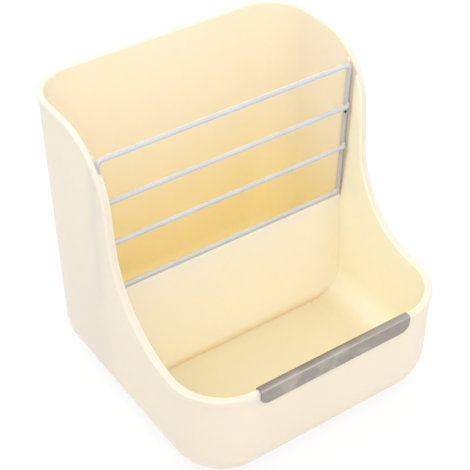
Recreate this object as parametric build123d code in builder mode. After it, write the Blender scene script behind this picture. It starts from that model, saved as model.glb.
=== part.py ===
"""Hay rack and food bowl for a small animal: a moulded shell, a wire rack and a steel lip guard.

The frame has +Z up and the open bowl towards -Y. The origin lies at the middle of the flat base.
"""
import os
from math import cos, radians, sin, tan

from build123d import *

# Overall size of the moulded shell, measured over its rim
width = 160.0
depth = 160.5
back_height = 167.5
front_height = 64.2

# Corners of the rim in plan, and the rounding under the base
front_corner_radius = 31.5
back_corner_radius = 26.0
base_rounding = 23.0

# Side view of the rim: a low front, a hollow sweep, a steep rise and a rounded shoulder
sweep_radius = 52.2
shoulder_radius = 35.7
rise_lean = 5.5
rise_y = 0.5

# Walls at the rim, and the bead that runs round the outside of the rim
floor_thickness = 4.0
front_wall = 3.1
bowl_side_wall = 3.9
hay_side_wall = 2.6
back_wall = 2.9
bead_proud = 0.5
bead_height = 4.2
outer_rim_bevel = 1.0
inner_rim_bevel = 0.8
inner_floor_rounding = 18.0

# Wall between the bowl and the hay space, whose top is the seat of the rack
partition_height = 71.4
partition_foot_y = 9.6
partition_lean = 3.8
partition_top_thickness = 3.2
partition_top_bevel = 0.5
partition_back_lean = 1.0

# Wire rack, which leans forward at its top and slides in two guides
wire_diameter = 2.7
rack_lean = 1.5
rack_height = 85.3
rack_bend_radius = 3.0
upper_cross_height = 60.0
lower_cross_height = 34.1
weld_bite = 0.15

# Guides for the rack, each between a front shoulder and a rib behind the wires
guide_clearance = 0.3
guide_foot_clearance = 0.8
guide_mouth_height = 72.0
guide_mouth_flare = 1.6
guide_rib_proud = 1.3
guide_rib_thickness = 1.5
guide_rib_below_seat = 6.0
guide_rib_below_rim = 2.0

# Steel guard folded over the front lip
guard_end_gap = 1.5
guard_thickness = 0.5
guard_front_drop = 9.0
guard_back_drop = 6.0
guard_front_corner = 5.0
guard_back_corner = 2.5
guard_fold_radius = 0.6
guard_clearance = 0.05

# Distances that follow from the sizes above
bowl_side = bead_proud + bowl_side_wall
bowl_front = bead_proud + front_wall
hay_side = bead_proud + hay_side_wall
hay_back = bead_proud + back_wall
space_top = back_height + base_rounding
wire_radius = wire_diameter / 2
partition_rise = partition_height - floor_thickness
partition_front_y = partition_foot_y + partition_rise * tan(radians(partition_lean))
partition_back_y = partition_front_y + partition_top_thickness
partition_back_foot_y = partition_back_y + partition_rise * tan(radians(partition_back_lean))
rack_foot = partition_height + guide_clearance
rack_foot_y = (partition_front_y + partition_back_y) / 2
cross_offset = wire_diameter - weld_bite
cross_reach = cross_offset + wire_radius + guide_clearance
hay_half_width = width / 2 - hay_side
side_wire_x = hay_half_width - guide_clearance - wire_radius
rack_lean_rad = radians(rack_lean)
rack_plane = Plane(
    origin=(0, rack_foot_y, rack_foot),
    x_dir=(1, 0, 0),
    z_dir=(0, -cos(rack_lean_rad), -sin(rack_lean_rad)),
)


def rack_y(height):
    """Y of the middle plane of the rack at a height."""
    return rack_foot_y - (height - rack_foot) * tan(rack_lean_rad)


def rim_outline(height, sides, front, back):
    """Outline of the rim in plan, made smaller by three insets and placed at a height."""
    with BuildSketch(Plane.XY.offset(height)) as outline:
        with Locations((0, (front - back) / 2)):
            Rectangle(width - 2 * sides, depth - front - back)
        fillet(outline.vertices().group_by(Axis.Y)[-1], back_corner_radius - (sides + back) / 2)
        fillet(outline.vertices().group_by(Axis.Y)[0], front_corner_radius - (sides + front) / 2)
    return outline.sketch


def hollow(sides):
    """Space inside the walls, open at the top, with a rounded floor."""
    outline = rim_outline(floor_thickness, sides, bowl_front, hay_back)
    space = extrude(outline, amount=space_top - floor_thickness)
    fillet(space.faces().sort_by(Axis.Z)[0].edges(), inner_floor_rounding)


def under_rim(drop):
    """Side view of all that lies under the rim line, moved inside that line by drop."""
    lean = radians(rise_lean)
    turn = radians(90 - rise_lean)
    middle = (front_height + back_height) / 2
    sweep_rise = front_height + sweep_radius * (1 - cos(turn)) - middle
    shoulder_rise = back_height - shoulder_radius * (1 - cos(turn)) - middle
    sweep_y = rise_y + sweep_rise * tan(lean) - sweep_radius * sin(turn)
    shoulder_y = rise_y + shoulder_rise * tan(lean) + shoulder_radius * sin(turn)
    sweep_centre = (sweep_y, front_height + sweep_radius)
    shoulder_centre = (shoulder_y, back_height - shoulder_radius)
    with BuildSketch(Plane.YZ) as side_view:
        with BuildLine():
            lip = Line((-depth, front_height - drop), (sweep_y, front_height - drop))
            sweep = CenterArc(sweep_centre, sweep_radius + drop, -90, 90 - rise_lean)
            crown = CenterArc(shoulder_centre, shoulder_radius - drop, 180 - rise_lean, rise_lean - 90)
            Line(sweep @ 1, crown @ 0)
            top = Line(crown @ 1, (depth, back_height - drop))
            Polyline(top @ 1, (depth, -depth), (-depth, -depth), lip @ 0)
        make_face()
    return side_view.sketch


def side_view_outline(points):
    """Closed outline in side view, to be extruded across the shell."""
    with BuildSketch(Plane.YZ) as outline:
        with BuildLine():
            Polyline(points, close=True)
        make_face()
    return outline.sketch


def is_rim(face):
    """True on the faces of the rim, which run straight across the shell."""
    normal = face.normal_at()
    return normal.Z > 0.05 and abs(normal.X) < 0.001


# Block with the full outline of the rim, kept only over the height of the bead
with BuildPart() as rim_bead:
    extrude(rim_outline(back_height, 0, 0, 0), amount=-back_height)
    extrude(under_rim(0), amount=width, both=True, mode=Mode.INTERSECT)
    rim_faces = rim_bead.faces().filter_by(is_rim)
    wall_faces = rim_bead.faces().filter_by(is_rim, reverse=True)
    outer_edges = ShapeList(set(rim_faces.edges()) & set(wall_faces.edges()))
    chamfer(outer_edges, outer_rim_bevel)
    extrude(under_rim(bead_height), amount=width, both=True, mode=Mode.SUBTRACT)

# Shell before it is hollowed out
with BuildPart() as shell_block:
    extrude(rim_outline(back_height, bead_proud, bead_proud, bead_proud), amount=-back_height)
    fillet(shell_block.faces().sort_by(Axis.Z)[0].edges(), base_rounding)
    extrude(under_rim(bead_height / 2), amount=width, both=True, mode=Mode.INTERSECT)
    add(rim_bead.part)

# Space of the bowl, in front of the partition and of the rack
with BuildPart() as bowl_space:
    hollow(bowl_side)
    bowl_outline = side_view_outline([
        (-depth, floor_thickness),
        (partition_foot_y, floor_thickness),
        (partition_front_y, partition_height - partition_top_bevel),
        (partition_front_y + partition_top_bevel, partition_height),
        (rack_foot_y, partition_height),
        (rack_y(space_top), space_top),
        (-depth, space_top),
    ])
    extrude(bowl_outline, amount=width, both=True, mode=Mode.INTERSECT)

# Space of the hay behind the partition, with the guides of the rack at its front
guide_foot_y = rack_foot_y - wire_radius - guide_foot_clearance
cross_z = rack_foot + lower_cross_height
mouth_z = rack_foot + guide_mouth_height
with BuildPart() as hay_space:
    hollow(hay_side)
    hay_outline = side_view_outline([
        (partition_back_foot_y, floor_thickness),
        (depth, floor_thickness),
        (depth, space_top),
        (rack_y(space_top) - cross_reach - guide_mouth_flare, space_top),
        (rack_y(back_height) - cross_reach - guide_mouth_flare, back_height),
        (rack_y(mouth_z) - cross_reach, mouth_z),
        (rack_y(cross_z) - cross_reach, cross_z),
        (guide_foot_y, partition_height),
        (partition_back_y - partition_top_bevel, partition_height),
        (partition_back_y, partition_height - partition_top_bevel),
    ])
    extrude(hay_outline, amount=width, both=True, mode=Mode.INTERSECT)

# Ribs behind the side wires, from just under the seat to just under the rim
rib_foot = -guide_rib_below_seat
with BuildPart() as guide_ribs:
    rib_face = rack_plane.offset(-wire_radius - guide_clearance)
    with BuildSketch(rib_face) as rib_outline:
        with BuildLine():
            Polyline(
                (hay_half_width - guide_rib_proud, rib_foot),
                (hay_half_width + guide_rib_proud, rib_foot),
                (hay_half_width + guide_rib_proud, back_height - rack_foot),
                (hay_half_width - guide_rib_proud, back_height - rack_foot),
                close=True,
            )
        make_face()
        mirror(about=Plane.YZ)
    extrude(amount=-guide_rib_thickness)
    extrude(under_rim(guide_rib_below_rim), amount=width, both=True, mode=Mode.INTERSECT)

with BuildPart() as spaces:
    add(bowl_space.part)
    add(hay_space.part)
    add(guide_ribs.part, mode=Mode.SUBTRACT)

with BuildPart() as body_shell:
    add(shell_block.part)
    add(spaces.part, mode=Mode.SUBTRACT)
    inner_edges = new_edges(shell_block.part, spaces.part, combined=body_shell.part)
    chamfer(inner_edges, inner_rim_bevel)

# Closed loop of wire: the top and bottom bars of the rack and its two side wires
bottom_bar = wire_radius
top_bar = rack_height - wire_radius
with BuildPart() as rack_frame_wire:
    with BuildLine(rack_plane) as loop:
        FilletPolyline(
            (-side_wire_x, bottom_bar),
            (side_wire_x, bottom_bar),
            (side_wire_x, top_bar),
            (-side_wire_x, top_bar),
            radius=rack_bend_radius,
            close=True,
        )
    with BuildSketch(Plane(origin=loop.line @ 0, z_dir=loop.line % 0)):
        Circle(wire_radius)
    sweep()


def cross_wire(along_rack):
    """Straight wire across the front of the side wires, as long as the loop is wide there."""
    centre = rack_plane.from_local_coords((0, along_rack, cross_offset))
    with BuildPart() as wire:
        with BuildSketch(Plane(origin=centre, x_dir=rack_plane.y_dir, z_dir=rack_plane.x_dir)):
            Circle(wire_radius)
        extrude(amount=side_wire_x + wire_radius, both=True)
    return wire.part


with BuildPart() as rack_cross_wire_upper:
    add(cross_wire(upper_cross_height))

with BuildPart() as rack_cross_wire_lower:
    add(cross_wire(lower_cross_height))

# Strip folded over the lip, its front flange outside the bead
guard_top = front_height + guard_clearance + guard_thickness
guard_front_y = -depth / 2 - guard_clearance - guard_thickness
guard_back_y = -depth / 2 + bowl_front + guard_clearance + guard_thickness
guard_half_length = width / 2 - front_corner_radius - guard_end_gap
with BuildPart() as lip_guard:
    with BuildSketch(Plane.YZ):
        with BuildLine():
            fold = FilletPolyline(
                (guard_front_y, front_height - guard_front_drop),
                (guard_front_y, guard_top),
                (guard_back_y, guard_top),
                (guard_back_y, front_height - guard_back_drop),
                radius=guard_fold_radius + guard_thickness,
            )
            offset(fold, amount=guard_thickness, side=Side.RIGHT, closed=True)
        make_face()
    extrude(amount=guard_half_length, both=True)
    fillet(lip_guard.edges().filter_by(Axis.Y).group_by(Axis.Y)[0], guard_front_corner)
    fillet(lip_guard.edges().filter_by(Axis.Y).group_by(Axis.Y)[-1], guard_back_corner)

body_shell.part.label = "body_shell"
rack_frame_wire.part.label = "rack_frame_wire"
rack_cross_wire_upper.part.label = "rack_cross_wire_upper"
rack_cross_wire_lower.part.label = "rack_cross_wire_lower"
lip_guard.part.label = "lip_guard"

os.makedirs("parts", exist_ok=True)
export_step(body_shell.part, "parts/body_shell.step")
export_step(rack_frame_wire.part, "parts/rack_frame_wire.step")
export_step(rack_cross_wire_upper.part, "parts/rack_cross_wire_upper.step")
export_step(rack_cross_wire_lower.part, "parts/rack_cross_wire_lower.step")
export_step(lip_guard.part, "parts/lip_guard.step")
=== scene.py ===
"""Hay rack and food bowl for a small animal, dressed and lit like the photograph."""
from math import cos, radians, sin

import bmesh
import bpy
from mathutils import Matrix, Vector


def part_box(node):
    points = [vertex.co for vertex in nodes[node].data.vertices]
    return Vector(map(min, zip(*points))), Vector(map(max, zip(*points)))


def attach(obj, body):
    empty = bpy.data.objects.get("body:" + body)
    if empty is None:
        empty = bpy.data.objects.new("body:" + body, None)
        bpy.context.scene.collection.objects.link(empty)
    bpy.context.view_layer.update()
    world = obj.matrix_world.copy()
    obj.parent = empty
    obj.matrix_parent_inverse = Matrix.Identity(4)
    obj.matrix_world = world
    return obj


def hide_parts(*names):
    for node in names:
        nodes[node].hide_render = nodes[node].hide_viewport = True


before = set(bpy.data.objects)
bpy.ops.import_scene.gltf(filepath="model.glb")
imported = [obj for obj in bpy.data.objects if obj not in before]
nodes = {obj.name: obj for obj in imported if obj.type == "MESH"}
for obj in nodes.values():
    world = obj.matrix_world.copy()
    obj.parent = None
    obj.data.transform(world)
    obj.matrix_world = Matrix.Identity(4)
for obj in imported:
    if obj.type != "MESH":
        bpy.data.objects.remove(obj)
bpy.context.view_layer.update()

# Camera of the photograph: the view's angles in degrees, lengths in metres
view_azimuth = -34.793
view_elevation = 43.802
view_roll = -0.054
view_distance = 0.66115
view_target = Vector((-0.00674, 0.0, 0.01685))
photo_size = 470
sensor_width = 36.0
focal_pixels = 1175.7
photo_centre = (234.52, 335.83)

# Shape of the shell, for the parts of the materials that follow it; lengths in metres
half_width = 0.080
half_depth = 0.08025
front_corner = 0.0315
back_corner = 0.0260
base_rounding = 0.023
front_inset = 0.0036
bowl_side_inset = 0.0044
hay_side_inset = 0.0031

# Bands of the shell over which one tone becomes the next: Y, Y, Z, Z and depth past the inset
front_corner_band = (-0.078, -0.048)
partition_band = (0.0143, 0.0172)
hay_depth_band = (0.030, 0.130)
bowl_floor_band = (0.0045, 0.0100)
inner_edge_band = (-0.0013, -0.0001)

# Edges of the small marks, as distances from their middles
moulding_mark_edge = (0.0003, 0.0007)
bare_spot_edge = (0.00110, 0.00130)

# Bands of the guard: half its length, where its ends take painted shade; distance from its fold,
# where a highlight is painted; and Y over its top, which takes painted shade
guard_end_band = (0.024, 0.046)
guard_fold_highlight_band = (0.0001, 0.0009)
guard_top_shade_band = (-0.0804, -0.0764)

# Cross wires: steps along the wire, round it and over its tips, and how far the tips stand out
wire_steps = 48
wire_sides = 20
tip_steps = 6
tip_share = 0.8

# Weld beads: half their size, and how far behind the cross wire's middle they lie
bead_half_size = (0.00125, 0.00150, 0.00205)
bead_behind = 0.00130

# Colours, all linear
shell_colour = (0.730, 0.664, 0.575)
# Inside tones: the cream with painted light, brighter and warmer than the outside, as if the
# walls lit each other
bowl_painted_glow = (0.955, 0.885, 0.720)
# Painted shade, darker and more orange, on the bowl's floor
floor_painted_warm_shade = (0.925, 0.750, 0.480)
# Painted glow on the upper walls of the hay space
upper_hay_painted_glow = (0.850, 0.738, 0.610)
# Painted glow, brightest and warmest low in the hay space
deep_hay_painted_glow = (1.000, 0.808, 0.525)
mark_colour = (0.520, 0.430, 0.300)
wire_colour = (0.560, 0.580, 0.595)
weld_colour = (0.015, 0.013, 0.012)
steel_colour = (0.435, 0.393, 0.350)
stage_colour = (0.930, 0.930, 0.930)

# Strength of the sky as a light; the camera and mirrors see it white
sky_light = 0.79

# Share of plain white in what the camera and mirrors see of the floor; the rest keeps the shadow
stage_white_share = 0.85

# Place of the weld spot that the coating of the rack left bare, in metres
bare_spot = (0.0741, 0.0129, 0.1273)

# Place of the small mark that the mould left on the floor of the bowl, in metres
moulding_mark = (0.0549, 0.0082, 0.0040)

# Line of the guard's front fold, along which a highlight is painted; its X is not used
fold_line = (0.0, -0.0807, 0.0646)


class Shader:
    """A node material with a Principled shader, and short ways to add nodes to it."""

    def __init__(self, name):
        self.material = bpy.data.materials.new(name)
        self.material.use_nodes = True
        self.tree = self.material.node_tree
        self.tree.nodes.clear()
        self.output = self.tree.nodes.new("ShaderNodeOutputMaterial")
        self.surface = self.tree.nodes.new("ShaderNodeBsdfPrincipled")
        self.tree.links.new(self.surface.outputs["BSDF"], self.output.inputs["Surface"])
        coordinates = self.tree.nodes.new("ShaderNodeTexCoord")
        self.place = coordinates.outputs["Object"]

    def node(self, kind, inputs=None, **settings):
        """Adds a node; an input is a number, a colour or another node's output."""
        added = self.tree.nodes.new(kind)
        for key, value in settings.items():
            setattr(added, key, value)
        for key, value in (inputs or {}).items():
            if isinstance(value, bpy.types.NodeSocket):
                self.tree.links.new(value, added.inputs[key])
            else:
                added.inputs[key].default_value = value
        return added

    def stretched(self, scale):
        """Object coordinates, scaled along each axis."""
        mapping = self.node("ShaderNodeMapping", {"Vector": self.place, "Scale": scale})
        return mapping.outputs["Vector"]

    def noise(self, scale, detail=2.0, roughness=0.5, vector=None):
        """Noise between 0 and 1, with a scale in features per metre."""
        place = self.place if vector is None else vector
        inputs = {"Vector": place, "Scale": scale, "Detail": detail, "Roughness": roughness}
        return self.node("ShaderNodeTexNoise", inputs).outputs["Fac"]

    def remap(self, value, low, high, to_low, to_high):
        """Value moved from one range to another, and kept inside it."""
        inputs = {"Value": value, "From Min": low, "From Max": high}
        inputs.update({"To Min": to_low, "To Max": to_high})
        added = self.node("ShaderNodeMapRange", inputs, interpolation_type="SMOOTHSTEP")
        return added.outputs["Result"]

    def math(self, operation, first, second, third=0.0):
        inputs = {0: first, 1: second, 2: third}
        return self.node("ShaderNodeMath", inputs, operation=operation).outputs["Value"]

    def mix(self, factor, first, second):
        """Mix of two colours, given as rgb or as an output."""
        inputs = {0: factor}
        for colour_input, colour in ((6, first), (7, second)):
            is_output = isinstance(colour, bpy.types.NodeSocket)
            inputs[colour_input] = colour if is_output else (*colour, 1.0)
        return self.node("ShaderNodeMix", inputs, data_type="RGBA").outputs[2]

    def bump(self, height, distance, strength=1.0, normal=None):
        inputs = {"Height": height, "Distance": distance, "Strength": strength}
        if normal is not None:
            inputs["Normal"] = normal
        return self.node("ShaderNodeBump", inputs).outputs["Normal"]

    def set(self, **inputs):
        """Sets or links inputs of the Principled shader, named with _ for a space."""
        for key, value in inputs.items():
            socket = self.surface.inputs[key.replace("_", " ")]
            if isinstance(value, bpy.types.NodeSocket):
                self.tree.links.new(value, socket)
            else:
                socket.default_value = value
        return self.material


def shade(tone, colour):
    """A colour made lighter or darker."""
    return tuple(min(1.0, part * tone) for part in colour)


def rounded(s, first, second, radius):
    """Distance outside two faces that meet in a rounded edge, below zero inside them."""
    first = s.math("ADD", first, radius)
    second = s.math("ADD", second, radius)
    outer_first = s.math("POWER", s.math("MAXIMUM", first, 0.0), 2.0)
    outer_second = s.math("POWER", s.math("MAXIMUM", second, 0.0), 2.0)
    outer = s.math("SQRT", s.math("ADD", outer_first, outer_second), 0.0)
    inner = s.math("MINIMUM", s.math("MAXIMUM", first, second), 0.0)
    return s.math("SUBTRACT", s.math("ADD", outer, inner), radius)


def depth_in_shell(s, x, y, z):
    """Distance under the outside of the shell, which is above zero in its walls and spaces."""
    in_front = s.math("LESS_THAN", y, 0.0)
    corner = s.math("MULTIPLY_ADD", in_front, front_corner - back_corner, back_corner)
    side = s.math("SUBTRACT", s.math("ABSOLUTE", x, 0.0), half_width)
    end = s.math("SUBTRACT", s.math("ABSOLUTE", y, 0.0), half_depth)
    around = rounded(s, side, end, corner)
    below = s.math("MULTIPLY", z, -1.0)
    return s.math("MULTIPLY", rounded(s, around, below, base_rounding), -1.0)


def moulded_plastic():
    """Cream plastic with painted light inside: brighter and warmer there, where its walls light
    each other.
    """
    s = Shader("cream_plastic")
    axes = s.node("ShaderNodeSeparateXYZ", {"Vector": s.place})
    x, y, z = (axes.outputs[name] for name in ("X", "Y", "Z"))
    behind = s.remap(y, *partition_band, 0.0, 1.0)
    inset = s.remap(y, *front_corner_band, front_inset, bowl_side_inset)
    inset = s.math("MULTIPLY_ADD", behind, hay_side_inset - bowl_side_inset, inset)
    past_wall = s.math("SUBTRACT", depth_in_shell(s, x, y, z), inset)
    inside = s.remap(past_wall, *inner_edge_band, 0.0, 1.0)
    # Painted glow that grows down the hay space
    low = s.remap(z, *hay_depth_band, 1.0, 0.0)
    cloud = s.remap(s.noise(14.0, 3.0), 0.3, 0.7, 0.0, 1.0)
    outside_tone = s.mix(cloud, shade(0.988, shell_colour), shade(1.012, shell_colour))
    hay_glow = s.mix(low, upper_hay_painted_glow, deep_hay_painted_glow)
    # Painted shade over the bottom of the bowl
    floor_shade = s.remap(z, *bowl_floor_band, 1.0, 0.0)
    bowl_glow = s.mix(floor_shade, bowl_painted_glow, floor_painted_warm_shade)
    # Painted light: the inside takes brighter, warmer tones than the outside
    inside_glow = s.mix(behind, bowl_glow, hay_glow)
    clean = s.mix(inside, outside_tone, inside_glow)
    away = s.node("ShaderNodeVectorMath", {0: s.place, 1: moulding_mark}, operation="DISTANCE")
    mark = s.remap(away.outputs["Value"], *moulding_mark_edge, 0.5, 0.0)
    colour = s.mix(mark, clean, mark_colour)
    roughness = s.remap(s.noise(26.0, 5.0, 0.65), 0.35, 0.7, 0.40, 0.54)
    edges = s.node("ShaderNodeBevel", {"Radius": 0.0009}, samples=8).outputs["Normal"]
    grain = s.bump(s.noise(2600.0, 2.0), 0.00003, 0.5, edges)
    wave = s.bump(s.noise(22.0, 1.0), 0.0002, 0.35, grain)
    return s.set(
        Base_Color=colour,
        Roughness=roughness,
        Normal=wave,
        Specular_IOR_Level=0.24,
        Subsurface_Weight=0.6,
        Subsurface_Radius=(1.0, 0.75, 0.42),
        Subsurface_Scale=0.014,
    )


def coated_wire():
    """Pale dip coating on wire, with one spot at a weld that the coating left bare."""
    s = Shader("pale_coating")
    cloud = s.remap(s.noise(60.0, 3.0), 0.3, 0.7, 0.0, 1.0)
    tone = s.mix(cloud, shade(0.96, wire_colour), shade(1.03, wire_colour))
    ragged = s.math("MULTIPLY", s.noise(1400.0, 2.0), 0.0005)
    away = s.node("ShaderNodeVectorMath", {0: s.place, 1: bare_spot}, operation="DISTANCE")
    spot = s.remap(s.math("ADD", away.outputs["Value"], ragged), *bare_spot_edge, 1.0, 0.0)
    colour = s.mix(spot, tone, weld_colour)
    roughness = s.remap(s.noise(220.0, 3.0), 0.3, 0.7, 0.26, 0.42)
    ripple = s.bump(s.noise(420.0, 2.0), 0.00008, 0.45)
    return s.set(
        Base_Color=colour,
        Roughness=roughness,
        Normal=ripple,
        Coat_Weight=0.2,
        Coat_Roughness=0.15,
    )


def brushed_steel():
    """Satin stainless strip, dulled in soft patches, with painted shade towards its ends and over
    its top, and a painted highlight along its fold.
    """
    s = Shader("brushed_steel")
    axes = s.node("ShaderNodeSeparateXYZ", {"Vector": s.place})
    across = s.math("ABSOLUTE", axes.outputs["X"], 0.0)
    ends = s.remap(across, *guard_end_band, 0.0, 0.8)
    along_fold = s.node("ShaderNodeCombineXYZ", {"Y": axes.outputs["Y"], "Z": axes.outputs["Z"]})
    ends_of_way = {0: along_fold.outputs[0], 1: fold_line}
    away = s.node("ShaderNodeVectorMath", ends_of_way, operation="DISTANCE")
    # Painted highlight along the fold
    fold = s.remap(away.outputs["Value"], *guard_fold_highlight_band, 1.0, 0.0)
    patches = s.remap(s.noise(70.0, 5.0, 0.65), 0.38, 0.62, 0.0, 1.0)
    lines = s.noise(1.0, 3.0, 0.6, s.stretched((60.0, 9000.0, 9000.0)))
    tone = s.mix(patches, shade(0.84, steel_colour), shade(1.16, steel_colour))
    # Painted shade towards the ends
    ends_painted_dark = s.mix(ends, tone, shade(0.80, steel_colour))
    with_fold_highlight = s.mix(fold, ends_painted_dark, shade(1.15, steel_colour))
    # Painted shade over the top face
    top_painted_shade = s.remap(axes.outputs["Y"], *guard_top_shade_band, 0.0, 1.0)
    colour = s.mix(top_painted_shade, with_fold_highlight, shade(0.62, steel_colour))
    roughness = s.remap(lines, 0.3, 0.7, 0.30, 0.40)
    brushing = s.bump(lines, 0.00001, 0.5)
    return s.set(Base_Color=colour, Metallic=1.0, Roughness=roughness, Normal=brushing)


def dress(node, material):
    """Gives a CAD node its material."""
    mesh = nodes[node].data
    mesh.materials.clear()
    mesh.materials.append(material)


plastic = moulded_plastic()
coating = coated_wire()
steel = brushed_steel()
dress("body_shell", plastic)
dress("rack_frame_wire", coating)
dress("lip_guard", steel)


def new_piece(name, shape, material):
    """Object made of a finished bmesh, smooth all over."""
    mesh = bpy.data.meshes.new(name)
    for face in shape.faces:
        face.smooth = True
    shape.to_mesh(mesh)
    shape.free()
    mesh.materials.append(material)
    piece = bpy.data.objects.new(name, mesh)
    bpy.context.scene.collection.objects.link(piece)
    return piece


def welded_wire(name, node):
    """Cross wire that ends in round tips on the side wires, a little uneven as dipped wire is."""
    low, high = (Vector(corner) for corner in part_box(node))
    centre = (low + high) / 2
    radius = (high.z - low.z) / 2
    reach = high.x - 2.0 * radius
    stations = []
    for step in range(tip_steps + 1):
        turn = radians(90 * step / tip_steps)
        stations.append((-reach - radius * cos(turn) * tip_share, radius * sin(turn)))
    for step in range(1, wire_steps):
        along = -reach + 2 * reach * step / wire_steps
        unevenness = 0.012 * sin(along * 260) + 0.008 * sin(along * 710)
        stations.append((along, radius * (1 + unevenness)))
    for step in range(tip_steps + 1):
        turn = radians(90 * step / tip_steps)
        stations.append((reach + radius * sin(turn) * tip_share, radius * cos(turn)))
    shape = bmesh.new()
    rings = []
    for along, size in stations:
        ring = []
        for step in range(wire_sides):
            turn = radians(360 * step / wire_sides)
            place = (along, centre.y + size * cos(turn), centre.z + size * sin(turn))
            ring.append(shape.verts.new(place))
        rings.append(ring)
    for first, second in zip(rings, rings[1:]):
        for step in range(wire_sides):
            after = (step + 1) % wire_sides
            shape.faces.new((first[step], first[after], second[after], second[step]))
    bmesh.ops.remove_doubles(shape, verts=shape.verts, dist=0.00002)
    bmesh.ops.recalc_face_normals(shape, faces=shape.faces)
    piece = new_piece(name, shape, coating)
    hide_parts(node)
    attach(piece, "rack")
    return centre, radius


def weld_bead(name, centre, radius, side):
    """Coating gathered round a weld, where a cross wire lies on a side wire."""
    frame_high = Vector(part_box("rack_frame_wire")[1])
    across = side * (frame_high.x - radius)
    half_x, half_y, half_z = bead_half_size
    shape = bmesh.new()
    bmesh.ops.create_icosphere(shape, subdivisions=3, radius=1.0)
    for vert in shape.verts:
        swell = 1 + 0.05 * sin(5 * vert.co.x + 3 * vert.co.z) + 0.04 * sin(7 * vert.co.y)
        vert.co.x = across + half_x * swell * vert.co.x
        vert.co.y = centre.y + bead_behind + half_y * swell * vert.co.y
        vert.co.z = centre.z + half_z * swell * vert.co.z
    piece = new_piece(name, shape, coating)
    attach(piece, "rack")


for level in ("upper", "lower"):
    wire_centre, wire_radius = welded_wire(f"cross_wire_{level}", f"rack_cross_wire_{level}")
    weld_bead(f"weld_{level}_left", wire_centre, wire_radius, -1)
    weld_bead(f"weld_{level}_right", wire_centre, wire_radius, 1)


def stage_material():
    """White that the camera, mirrors and glass see brighter than it lights the object."""
    s = Shader("stage_white")
    s.set(Base_Color=(*stage_colour, 1.0), Roughness=0.9, Specular_IOR_Level=0.1)
    path = s.node("ShaderNodeLightPath")
    seen = s.math("MAXIMUM", path.outputs["Is Camera Ray"], path.outputs["Is Glossy Ray"])
    seen = s.math("MAXIMUM", seen, path.outputs["Is Transmission Ray"])
    share = s.math("MULTIPLY", seen, stage_white_share)
    white = s.node("ShaderNodeEmission", {"Color": (1.0, 1.0, 1.0, 1.0), "Strength": 1.0})
    layers = {0: share, 1: s.surface.outputs["BSDF"], 2: white.outputs[0]}
    both = s.node("ShaderNodeMixShader", layers)
    s.tree.links.new(both.outputs[0], s.output.inputs["Surface"])
    return s.material


def stage_floor():
    """Floor under the object, curving up into a backdrop behind it."""
    half_span, front, back, height, bend = 2.2, -2.2, 1.1, 1.8, 0.5
    bend_steps = 8
    under_object = 0.0002
    profile = [(front, 0.0), (back - bend, 0.0)]
    for step in range(1, bend_steps + 1):
        turn = radians(90 * step / bend_steps)
        profile.append((back - bend + bend * sin(turn), bend - bend * cos(turn)))
    profile.append((back, height))
    mesh = bpy.data.meshes.new("stage_floor")
    shape = bmesh.new()
    left = [shape.verts.new((-half_span, y, z)) for y, z in profile]
    right = [shape.verts.new((half_span, y, z)) for y, z in profile]
    for i in range(len(profile) - 1):
        shape.faces.new((left[i], right[i], right[i + 1], left[i + 1])).smooth = True
    shape.to_mesh(mesh)
    shape.free()
    floor = bpy.data.objects.new("stage_floor", mesh)
    bpy.context.scene.collection.objects.link(floor)
    mesh.materials.append(stage_material())
    floor.location.z = -under_object


stage_floor()


def soft_light(name, place, aim, size, power):
    """Square area lamp at a place, turned to a point."""
    data = bpy.data.lights.new(name, "AREA")
    data.shape = "SQUARE"
    data.size = size
    data.energy = power
    lamp = bpy.data.objects.new(name, data)
    bpy.context.scene.collection.objects.link(lamp)
    lamp.location = place
    lamp.rotation_euler = (Vector(aim) - Vector(place)).to_track_quat("-Z", "Y").to_euler()


# Lamps: name, place, side of the square in metres, and power in watts
lamps = (
    ("front_light", (-0.50, -0.80, 0.92), 0.7, 1.2),
    ("right_light", (0.25, -0.95, 0.90), 0.9, 1.6),
    ("upper_light", (-0.20, -0.45, 1.30), 0.7, 4.8),
    ("top_light", (-0.40, 0.45, 1.20), 0.8, 4.0),
)
for lamp_name, lamp_place, lamp_size, lamp_power in lamps:
    soft_light(lamp_name, lamp_place, (0.0, 0.0, 0.06), lamp_size, lamp_power)
soft_light("back_light", (0.75, 1.05, 0.45), (0.0, 0.0, 0.08), 0.9, 7.0)

world = bpy.data.worlds.new("studio")
bpy.context.scene.world = world
world.use_nodes = True
sky = world.node_tree.nodes["Background"]
sky.inputs["Color"].default_value = (1.0, 1.0, 1.0, 1.0)
sky_path = world.node_tree.nodes.new("ShaderNodeLightPath")
sky_strength = sky.inputs["Strength"]
for ray in ("Is Camera Ray", "Is Glossy Ray", "Is Transmission Ray"):
    brighter = world.node_tree.nodes.new("ShaderNodeMath")
    brighter.operation = "MAXIMUM"
    brighter.inputs[1].default_value = sky_light
    world.node_tree.links.new(sky_path.outputs[ray], brighter.inputs[0])
    world.node_tree.links.new(brighter.outputs[0], sky_strength)
    sky_strength = brighter.inputs[1]


def camera():
    """Camera at the photograph's angle, with the photograph's crop as its shift."""
    around, up = radians(view_azimuth), radians(view_elevation)
    back = Vector((sin(around) * cos(up), -cos(around) * cos(up), sin(up)))
    right = Vector((cos(around), sin(around), 0.0))
    upward = back.cross(right)
    roll = radians(view_roll)
    turned_right = cos(roll) * right + sin(roll) * upward
    turned_up = cos(roll) * upward - sin(roll) * right
    data = bpy.data.cameras.new("photo_camera")
    data.sensor_width = sensor_width
    data.lens = focal_pixels * data.sensor_width / photo_size
    data.shift_x = (photo_size / 2 - photo_centre[0]) / photo_size
    data.shift_y = (photo_centre[1] - photo_size / 2) / photo_size
    eye = bpy.data.objects.new("photo_camera", data)
    bpy.context.scene.collection.objects.link(eye)
    axes = Matrix((turned_right, turned_up, back)).transposed().to_4x4()
    eye.matrix_world = Matrix.Translation(view_target + back * view_distance) @ axes
    bpy.context.scene.camera = eye


camera()
bpy.context.scene.view_settings.view_transform = "Standard"
